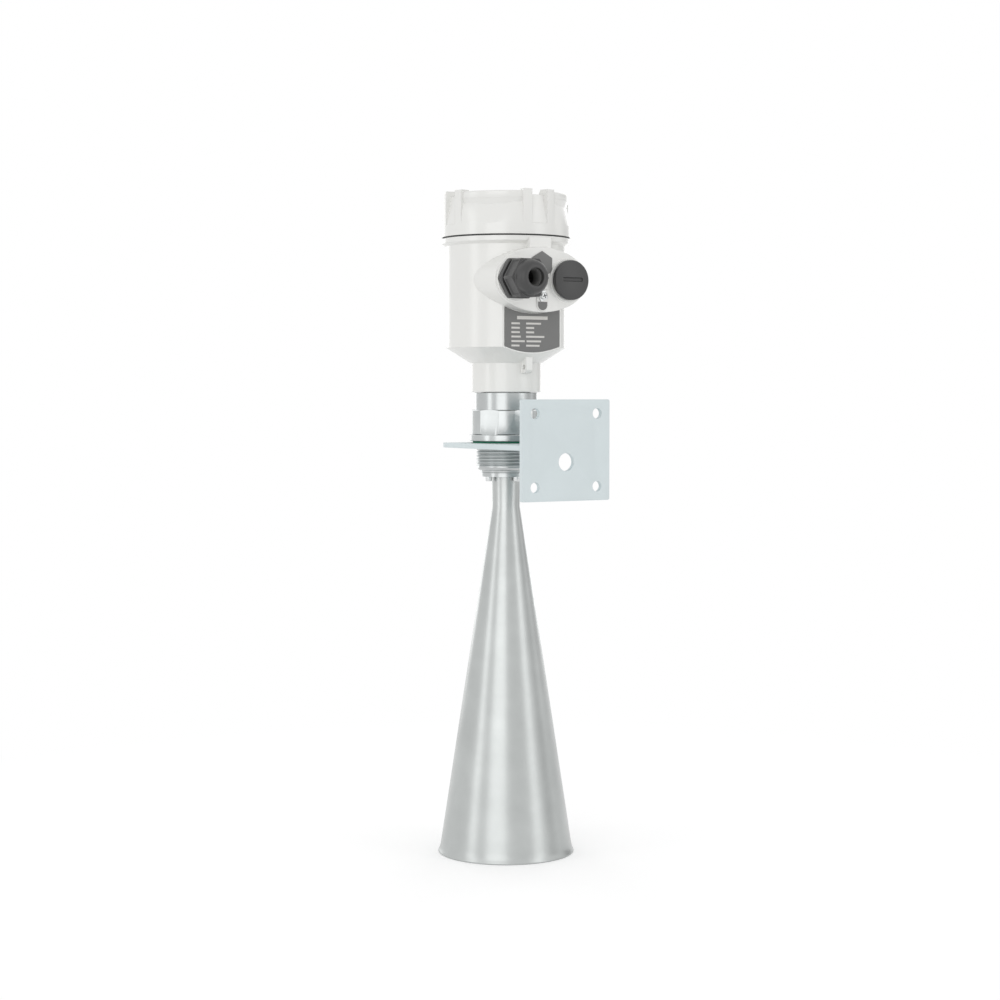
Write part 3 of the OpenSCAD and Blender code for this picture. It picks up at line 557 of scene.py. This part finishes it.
def add_gland_body():
    """Hexagon with rounded corners on a threaded stem, which the nut hides."""
    half, high, barrel = 11.5, 3.8, 8.5
    hexagon = hexagon_block(half, 0, high)
    blank = turned("blank", dark_moulding, [
        (0, -1), (half + 1.2, -1), (half + 1.75, 0.8), (half + 1.75, high - 0.9), (half + 0.5, high),
        (0, high + 0.01)])
    cut_by(hexagon, blank, operation="INTERSECT")
    rounded_edges(hexagon, 0.3, 3, 25)
    grooves = []
    for step in range(ENTRY_RIDGES):
        low = high - 0.2 + step * ENTRY_PITCH
        grooves += [(barrel - 0.5, low), (barrel, low + 0.5), (barrel, low + 0.9)]
    stem = turned("stem", dark_moulding, ring_section(
        6.0, [(barrel - 0.6, 0.5)] + grooves + [(barrel - 0.5, 11.2)]))
    body = joined("gland_base", dark_moulding, [hexagon, stem])
    out_of_boss(body, -ENTRY_X, ENTRY_Z, 42.6)
    finished(body, "head", 30)
    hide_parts("gland_body")


def add_gland_nut():
    """Hexagon with a sunk panel in each flat, and a dome that ends in a lipped hole."""
    half, long, dome, hole = 11.0, 9.8, 6.4, 5.2
    nut = hexagon_block(half, 0, long)
    bpy.ops.object.mode_set(mode="EDIT")
    bpy.ops.mesh.select_mode(type="FACE")
    bpy.ops.mesh.select_all(action="DESELECT")
    bpy.ops.object.mode_set(mode="OBJECT")
    for face in nut.data.polygons:
        face.select = abs(face.normal.z) < 0.5
    bpy.ops.object.mode_set(mode="EDIT")
    bpy.ops.mesh.inset(use_individual=True, thickness=1.25 * MM, depth=0)
    bpy.ops.mesh.inset(use_individual=True, thickness=0.35 * MM, depth=-0.7 * MM)
    bpy.ops.object.mode_set(mode="OBJECT")
    rounded_edges(nut, 0.32, 3, 20)
    outer = half - 0.35
    crown = [(hole + 1.0 + 4.2 * math.cos(a), long + 0.7 + (dome - 0.7) * math.sin(a))
             for a in [math.radians(9 * step) for step in range(1, 11)]]
    dome_piece = turned("dome", dark_moulding, [
        (0, 0.6), (outer - 1.2, 0.6), (outer - 0.2, long - 0.8), (outer + 0.3, long - 0.35),
        (outer + 0.3, long + 0.15), (outer - 0.15, long + 0.65)] + crown + [(0, long + dome)], 120)
    cut_by(nut, dome_piece, operation="UNION")
    mouth = turned("mouth", dark_moulding, [
        (0, 10), (hole, 10), (hole, long + dome - 0.5), (hole + 0.15, long + dome - 0.15),
        (hole + 0.5, long + dome + 0.01), (hole + 0.6, long + dome + 1), (0, long + dome + 1)], 96)
    cut_by(nut, rod(8.8, -0.1, 9.25, 96), rod(6.5, 5, 13.9, 96), mouth)
    out_of_boss(nut, -ENTRY_X, ENTRY_Z, 48.0)
    named("gland_cap", dark_moulding)
    finished(nut, "gland_nut", 32)
    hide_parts("gland_nut")


def add_gland_sleeve():
    """The soft sleeve that grips a cable: a flange, a plain tube and a mouth that widens."""
    sleeve = turned("gland_sleeve", sleeve_rubber, [
        (4.2, 0), (8.2, 0), (8.2, 2.8), (5.9, 3.0), (5.9, 4.2), (6.0, 6.6), (5.4, 7.2), (4.9, 7.2),
        (4.3, 6.0), (4.2, 4.4), (4.2, 0)])
    out_of_boss(sleeve, -ENTRY_X, ENTRY_Z, 54.2)
    finished(sleeve, "gland_seal", 40)
    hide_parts("gland_seal")


# ---- Blanking plug ----

def add_plug():
    """Screw plug: threaded shank, rounded edge, domed face and a blade slot."""
    head, edge, dome = 11.8, 2.6, 1.2
    ball = (head ** 2 + dome ** 2) / (2 * dome)
    crown = [(ball * math.sin(a), edge + dome - ball * (1 - math.cos(a)))
             for a in [math.asin((head - 0.5) / ball) * (1 - i / 10) for i in range(11)]]
    grooves = []
    for step in range(ENTRY_RIDGES):
        low = -7.6 + step * ENTRY_PITCH
        grooves += [(9.3, low), (9.95, low + 0.55), (9.95, low + 0.85)]
    rim = [(9.3, -0.1), (9.3, 0), (head - 0.25, 0), (head, 0.25), (head, edge - 0.6),
           (head - 0.12, edge - 0.2), (head - 0.4, crown[0][1] - 0.02)]
    plug = turned("screw_plug", dark_moulding, [(0, -8.4), (9.0, -8.4)] + grooves + rim + crown, 120)
    slot = block((-7, -1.0, edge + dome - 1.5), (7, 1.6, edge + dome + 1))
    rounded_edges(slot, 0.9, 4, 80)
    cut_by(plug, slot)
    out_of_boss(plug, ENTRY_X, ENTRY_Z, 43.0)
    named("screw_plug", dark_moulding)
    finished(plug, "blanking_plug", 30)
    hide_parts("blanking_plug")


# ---- Horn ----

def add_horn():
    """Feed tube, cone and a rim that flares out softly to a rounded lip."""
    outside = [(6, -14.8), (8.9, -14.8), (8.9, -17.3), (8.5, -35.3), (39.75, -240.4)]
    flare = [(40.12, -242.4), (40.5, -243.9), (40.95, -245.1), (41.35, -245.9), (41.5, -246.35)]
    lip = [(41.4, -246.8), (41.1, -247), (40.5, -247), (40, -246.7), (39.5, -245.4)]
    inside = [(38.6, -242.5), (6, -35.3), (6, -14.8)]
    horn = turned("spun_horn", spun_steel, outside + flare + lip + inside, 192)
    on_axis(horn)
    finished(horn, "bracket", 32)
    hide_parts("horn")


# ---- Ground terminal ----

GROUND_Z, CLAMP_REACH, CLAMP_T = 90.25, 41.7, 0.9
CLAMP_TURN, CROSS_TURN = 22, 20


def add_ground_terminal():
    """Square clamp under a cross-recessed pan-head screw, whose recess walls take a dark nickel as
    painted shade.
    """
    clamp = block((-2.7, -2.7, 0), (2.7, 2.7, CLAMP_T))
    clamp.rotation_euler = (0, 0, math.radians(CLAMP_TURN))
    bpy.ops.object.transform_apply(rotation=True)
    rounded_edges(clamp, 0.25, 3)
    cut_by(clamp, rod(1.4, -1, 2, 32))
    screw = turned("screw", screw_nickel, [
        (0, -3.6), (1.0, -3.6), (1.3, -3.3), (1.3, CLAMP_T), (2.05, CLAMP_T), (2.2, CLAMP_T + 0.15),
        (2.2, CLAMP_T + 0.8), (2.1, CLAMP_T + 1.2), (1.8, CLAMP_T + 1.5), (1.3, CLAMP_T + 1.66),
        (0, CLAMP_T + 1.72)], 64)
    for turn in (CROSS_TURN, CROSS_TURN + 90):
        wing = block((-1.35, -0.3, CLAMP_T + 0.7), (1.35, 0.3, 4))
        wing.rotation_euler = (0, 0, math.radians(turn))
        bpy.ops.object.transform_apply(rotation=True)
        # The cut walls of the recess take the dark nickel: painted shade.
        wing.data.materials.append(painted_shade_nickel)
        modified(screw, "BOOLEAN", object=wing, operation="DIFFERENCE", solver="EXACT",
                 material_mode="TRANSFER")
        only(wing)
        bpy.ops.object.delete()
    clamp.data.materials.append(screw_nickel)
    for piece, name, node in (
        (clamp, "clamp_plate", "ground_clamp"),
        (screw, "cross_screw", "ground_screw"),
    ):
        out_of_boss(piece, 0, GROUND_Z, CLAMP_REACH)
        piece.name = piece.data.name = name
        finished(piece, "head", 30)
        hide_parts(node)


# ---- Antenna screws ----

SCREW_CIRCLE, SCREW_HEAD_R, FLUTE_SCALE = 12.3, 2.1, 0.95


def add_flange_screws():
    """Socket-head screws with a fluted rim."""
    screws = []
    for side in range(4):
        screw = rod(SCREW_HEAD_R, -20.1, -17.3, 32)
        for corner in screw.data.vertices:
            corner.select = bool(round(math.atan2(corner.co.y, corner.co.x) / (math.pi / 16)) % 2)
        bpy.ops.object.mode_set(mode="EDIT")
        bpy.ops.transform.resize(value=(FLUTE_SCALE, FLUTE_SCALE, 1.0), center_override=(0, 0, 0))
        bpy.ops.object.mode_set(mode="OBJECT")
        blank = turned("blank", screw_nickel, [
            (0, -20.3), (1.6, -20.1), (1.95, -19.95), (SCREW_HEAD_R, -19.6), (SCREW_HEAD_R, -17),
            (0, -17)], 48)
        cut_by(screw, blank, operation="INTERSECT")
        cut_by(screw, rod(1.05, -20.5, -18.6, 6))
        only(screw)
        turn = math.radians(90 * side)
        screw.rotation_euler = (0, 0, turn)
        screw.location = in_metres((SCREW_CIRCLE * math.cos(turn), SCREW_CIRCLE * math.sin(turn), 0))
        bpy.ops.object.transform_apply(location=True, rotation=True)
        screws.append(screw)
    screws = joined("socket_screws", screw_nickel, screws)
    on_axis(screws)
    finished(screws, "bracket", 35)
    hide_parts("flange_screws")


# ---- Bracket ----

LEG_T = 3.0
BEAD_R, BEAD_LONG, BEAD_STEP, RIPPLE = 1.25, 56, 0.4, 1.6


def add_weld():
    """Two rippled beads in the corners between the wall plate and the leg."""
    beads = []
    for height, way in ((LEG_T, 1), (0.0, -1)):
        nothing_selected()
        bpy.ops.mesh.primitive_cylinder_add(
            vertices=20, radius=BEAD_R * MM, depth=BEAD_LONG * MM, location=(0, 0, 0),
            end_fill_type="TRIFAN")
        bpy.ops.object.mode_set(mode="EDIT")
        for cut in range(1, round(BEAD_LONG / BEAD_STEP)):
            bpy.ops.mesh.select_all(action="SELECT")
            place = (0, 0, (cut * BEAD_STEP - BEAD_LONG / 2) * MM)
            bpy.ops.mesh.bisect(plane_co=place, plane_no=(0, 0, 1))
        bpy.ops.object.mode_set(mode="OBJECT")
        bead = bpy.context.object
        for corner in bead.data.vertices:
            wave = (corner.co.z / MM + BEAD_LONG / 2 + 0.5 * corner.co.x / MM) % RIPPLE / RIPPLE
            swell = 0.86 + 0.2 * math.sin(math.pi * wave) ** 0.6
            corner.co.x *= swell
            corner.co.y *= swell
        bead.rotation_euler = (0, math.radians(90), 0)
        bead.location = in_metres((0, 3.1, height + way * 0.1))
        bpy.ops.object.transform_apply(location=True, rotation=True)
        beads.append(bead)
    weld = joined("weld_beads", weld_metal, beads)
    finished(weld, "bracket", 50)
    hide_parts("bracket_weld")


def cad_copy(node, name):
    """A copy of a CAD node's mesh, to be worked on."""
    nothing_selected()
    copy = bpy.data.objects.new(name, nodes[node].data.copy())
    bpy.context.scene.collection.objects.link(copy)
    only(copy)
    bpy.ops.mesh.customdata_custom_splitnormals_clear()
    bpy.ops.object.mode_set(mode="EDIT")
    cleaned()
    bpy.ops.object.mode_set(mode="OBJECT")
    return copy


def dressed_copy(node, name, finish, body, width, angle=25):
    """A copy of a CAD node with its flat faces made whole and its edges rounded."""
    copy = cad_copy(node, name)
    bpy.ops.object.mode_set(mode="EDIT")
    bpy.ops.mesh.select_all(action="SELECT")
    bpy.ops.mesh.dissolve_limited(angle_limit=math.radians(0.3))
    bpy.ops.object.mode_set(mode="OBJECT")
    rounded_edges(copy, width, 3, angle)
    copy = named(name, finish)
    finished(copy, body, 32)
    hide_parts(node)


# ---- Lid ----

BAND_TOP, LIP_LOW, CREASE_Z = 133.25, 148.1, 144.1
LUG_TURN, LUG_HALF = 33.2, 2.8
BAND_R, LIP_R, WALL_R, WALL_TOP = 38.9, 37.5, 34, LIP_LOW + 0.9
SCOOP_SHIFT, SCOOP_R = 14.6, 36.1


def sector(piece, offset):
    """Keeps what lies about +X between two planes that run along the lugs, offset inwards."""
    only(piece)
    bpy.ops.object.mode_set(mode="EDIT")
    for side in (1, -1):
        turn = math.radians(LUG_TURN)
        way = Vector((-math.sin(turn), side * math.cos(turn), 0))
        bpy.ops.mesh.select_all(action="SELECT")
        bpy.ops.mesh.bisect(plane_co=way * -offset * MM, plane_no=way, use_fill=True, clear_outer=True)
    cleaned()
    bpy.ops.object.mode_set(mode="OBJECT")


def about_axis(piece, turn):
    """Turns a piece made about the origin, then moves it to the sensor's axis."""
    only(piece)
    piece.rotation_euler = (0, 0, math.radians(turn))
    piece.location = (0, AXIS_Y, 0)
    bpy.ops.object.transform_apply(location=True, rotation=True)


def add_lid():
    """The lid with each grip recess made again as a wide scoop, lens-shaped under the lip."""
    lid = cad_copy("lid", "scooped_lid")
    outer = SCOOP_R + SCOOP_SHIFT + 20
    walls, scoops = [], []
    for turn in (45, 135, 225, 315):
        wall = turned("wall", powder_coat, [
            (WALL_R, BAND_TOP - 1), (BAND_R, BAND_TOP - 1), (BAND_R, BAND_TOP), (LIP_R, WALL_TOP),
            (WALL_R, WALL_TOP), (WALL_R, BAND_TOP - 1)], 144)
        sector(wall, 0.4)
        about_axis(wall, turn)
        scoop = turned("scoop", powder_coat, [
            (BAND_R + SCOOP_SHIFT, BAND_TOP), (SCOOP_R + SCOOP_SHIFT, CREASE_Z),
            (SCOOP_R + SCOOP_SHIFT - 1.8, WALL_TOP), (outer, WALL_TOP), (outer, BAND_TOP),
            (BAND_R + SCOOP_SHIFT, BAND_TOP)], 360)
        scoop.location = (-SCOOP_SHIFT * MM, 0, 0)
        bpy.ops.object.transform_apply(location=True)
        under_lip = turned("under_lip", powder_coat, [
            (0, 130), (70, 130), (70, LIP_LOW), (LIP_R, LIP_LOW), (SCOOP_R, CREASE_Z),
            (SCOOP_R - 6, CREASE_Z - 9), (0, CREASE_Z - 9)], 144)
        cut_by(scoop, under_lip, operation="INTERSECT")
        sector(scoop, LUG_HALF)
        about_axis(scoop, turn)
        walls.append(wall)
        scoops.append(scoop)
    cut_by(lid, joined("walls", powder_coat, walls), operation="UNION")
    cut_by(lid, joined("scoops", powder_coat, scoops))
    bpy.ops.object.mode_set(mode="EDIT")
    cleaned()
    bpy.ops.mesh.dissolve_limited(angle_limit=math.radians(0.2))
    bpy.ops.object.mode_set(mode="OBJECT")
    named("scooped_lid", powder_coat)
    finished(lid, "lid", 28)
    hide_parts("lid")


# ---- Floor, lamps, world and camera ----

VIEW_AZIMUTH = math.radians(-31)
VIEW_DISTANCE = 1.274
VIEW_HEIGHT = 33.7 * MM
VIEW_PITCH = math.radians(2.945)
VIEW_YAW = math.radians(0.165)
VIEW_LENS = 75.49

WORLD_LEVEL = 0.76
FLOOR_GREY, FLOOR_LIFT = 0.9, 0.25
FADE_FROM, FADE_TO = 0.08, 0.5

# Each card: its azimuth and half width in degrees, and the share of light it keeps. Only
# mirrored rays see the cards.
DARK_CARDS = ((60, 9, 0.5), (100, 13, 0.4))
CARD_FADE = 4

# Each lamp: its name, azimuth in degrees, distance, width and radiance.
LAMP_HEIGHT, LAMP_TALL = 0.15, 1.8
LAMPS = (
    ("lamp_left", -93, 1.6, 0.4, 1.05),
    ("lamp_front", -48, 1.9, 1.2, 0.95),
    ("lamp_right", 29, 1.6, 0.5, 0.85),
    ("lamp_side", 130, 1.6, 0.6, 1.0),
    ("lamp_back", 178, 1.7, 0.7, 1.0),
)


def seen_ray(tree):
    """1 for the rays that show the white studio behind and in the metal, else 0."""
    path = tree.nodes.new("ShaderNodeLightPath")
    seen = math_node(tree, "MAXIMUM", path.outputs["Is Camera Ray"], path.outputs["Is Glossy Ray"])
    return math_node(tree, "MAXIMUM", seen, path.outputs["Is Transmission Ray"])


def round_axis(azimuth, distance, height):
    """A point about the sensor's axis; azimuth 0, in radians, is in front of the wall plate."""
    return Vector((math.sin(azimuth) * distance, AXIS_Y - math.cos(azimuth) * distance, height))


def add_floor():
    """A pale floor that keeps the shadow near the horn and fades to the white backdrop."""
    nothing_selected()
    bpy.ops.mesh.primitive_plane_add(size=30.0, location=(0, 0, FLOOR_Z - 0.05 * MM))
    floor = bpy.context.object
    floor.name = "floor"
    made, tree, shader = new_material("pale_floor", 0.0, 0.9)
    shader.inputs["Base Color"].default_value = (FLOOR_GREY, FLOOR_GREY, FLOOR_GREY, 1.0)
    shader.inputs["Specular IOR Level"].default_value = 0.0
    shader.inputs["Emission Color"].default_value = (1.0, 1.0, 1.0, 1.0)
    seen = seen_ray(tree)
    tree.links.new(math_node(tree, "MULTIPLY", seen, FLOOR_LIFT), shader.inputs["Emission Strength"])
    backdrop = tree.nodes.new("ShaderNodeEmission")
    tree.links.new(ramp_value(tree, seen, 0.0, 1.0, WORLD_LEVEL, 1.0), backdrop.inputs["Strength"])
    away = tree.nodes.new("ShaderNodeVectorMath")
    away.operation = "DISTANCE"
    tree.links.new(object_place(tree), away.inputs[0])
    away.inputs[1].default_value = (0.0, AXIS_Y, FLOOR_Z)
    fade = tree.nodes.new("ShaderNodeMixShader")
    tree.links.new(ramp_value(tree, away.outputs["Value"], FADE_FROM, FADE_TO), fade.inputs[0])
    tree.links.new(shader.outputs[0], fade.inputs[1])
    tree.links.new(backdrop.outputs[0], fade.inputs[2])
    tree.links.new(fade.outputs[0], tree.nodes["Material Output"].inputs["Surface"])
    floor.data.materials.append(made)
    bpy.ops.object.transform_apply(location=True)


def add_lamp(name, azimuth, distance, width, radiance):
    """An upright soft box that faces the sensor; metal shows its glow on top of the world's."""
    lamp = bpy.data.lights.new(name, "AREA")
    lamp.shape = "RECTANGLE"
    lamp.size = width
    lamp.size_y = LAMP_TALL
    lamp.energy = radiance * math.pi * width * LAMP_TALL
    made = bpy.data.objects.new(name, lamp)
    bpy.context.scene.collection.objects.link(made)
    made.location = round_axis(math.radians(azimuth), distance, LAMP_HEIGHT)
    aim = round_axis(0, 0, LAMP_HEIGHT * 0.4) - made.location
    made.rotation_euler = aim.to_track_quat("-Z", "Y").to_euler()


def add_world():
    """A white studio, seen in the metal with two darker cards that shape the horn."""
    world = bpy.data.worlds.new("white_studio")
    bpy.context.scene.world = world
    world.use_nodes = True
    tree = world.node_tree
    shader = tree.nodes["Background"]
    shader.inputs["Color"].default_value = (1, 1, 1, 1)
    level = ramp_value(tree, seen_ray(tree), 0.0, 1.0, WORLD_LEVEL, 1.0)
    way = tree.nodes.new("ShaderNodeTexCoord").outputs["Generated"]
    mirrored = tree.nodes.new("ShaderNodeLightPath").outputs["Is Glossy Ray"]
    for azimuth, half, kept in DARK_CARDS:
        turn = math.radians(azimuth)
        along = tree.nodes.new("ShaderNodeVectorMath")
        along.operation = "DOT_PRODUCT"
        tree.links.new(way, along.inputs[0])
        along.inputs[1].default_value = (math.sin(turn), -math.cos(turn), 0)
        inside = ramp_value(tree, along.outputs["Value"], math.cos(math.radians(half + CARD_FADE)),
                            math.cos(math.radians(half - CARD_FADE)), 0.0, 1 - kept)
        level = math_node(tree, "MULTIPLY", level, math_node(
            tree, "SUBTRACT", 1.0, math_node(tree, "MULTIPLY", inside, mirrored)))
    tree.links.new(level, shader.inputs["Strength"])


def add_camera():
    view = bpy.data.cameras.new("view")
    view.lens = VIEW_LENS
    view.sensor_width = 36.0
    view.clip_start, view.clip_end = 0.05, 60.0
    camera = bpy.data.objects.new("view", view)
    bpy.context.scene.collection.objects.link(camera)
    camera.location = round_axis(VIEW_AZIMUTH, VIEW_DISTANCE, VIEW_HEIGHT)
    camera.rotation_euler = (math.radians(90) - VIEW_PITCH, 0, VIEW_AZIMUTH + VIEW_YAW)
    bpy.context.scene.camera = camera


add_fitting()
add_horn()
add_flange_screws()
add_print()
add_gland_body()
add_gland_nut()
add_gland_sleeve()
add_plug()
add_ground_terminal()
add_weld()
add_lid()
dressed_copy("wall_plate", "wall_plate_dressed", bracket_coat, "bracket", 0.35)
dressed_copy("bracket_leg", "bracket_leg_dressed", bracket_coat, "bracket", 0.3)
add_floor()
for lamp_name, azimuth, distance, width, radiance in LAMPS:
    add_lamp(lamp_name, azimuth, distance, width, radiance)
add_world()
add_camera()
bpy.context.scene.view_settings.view_transform = "Standard"
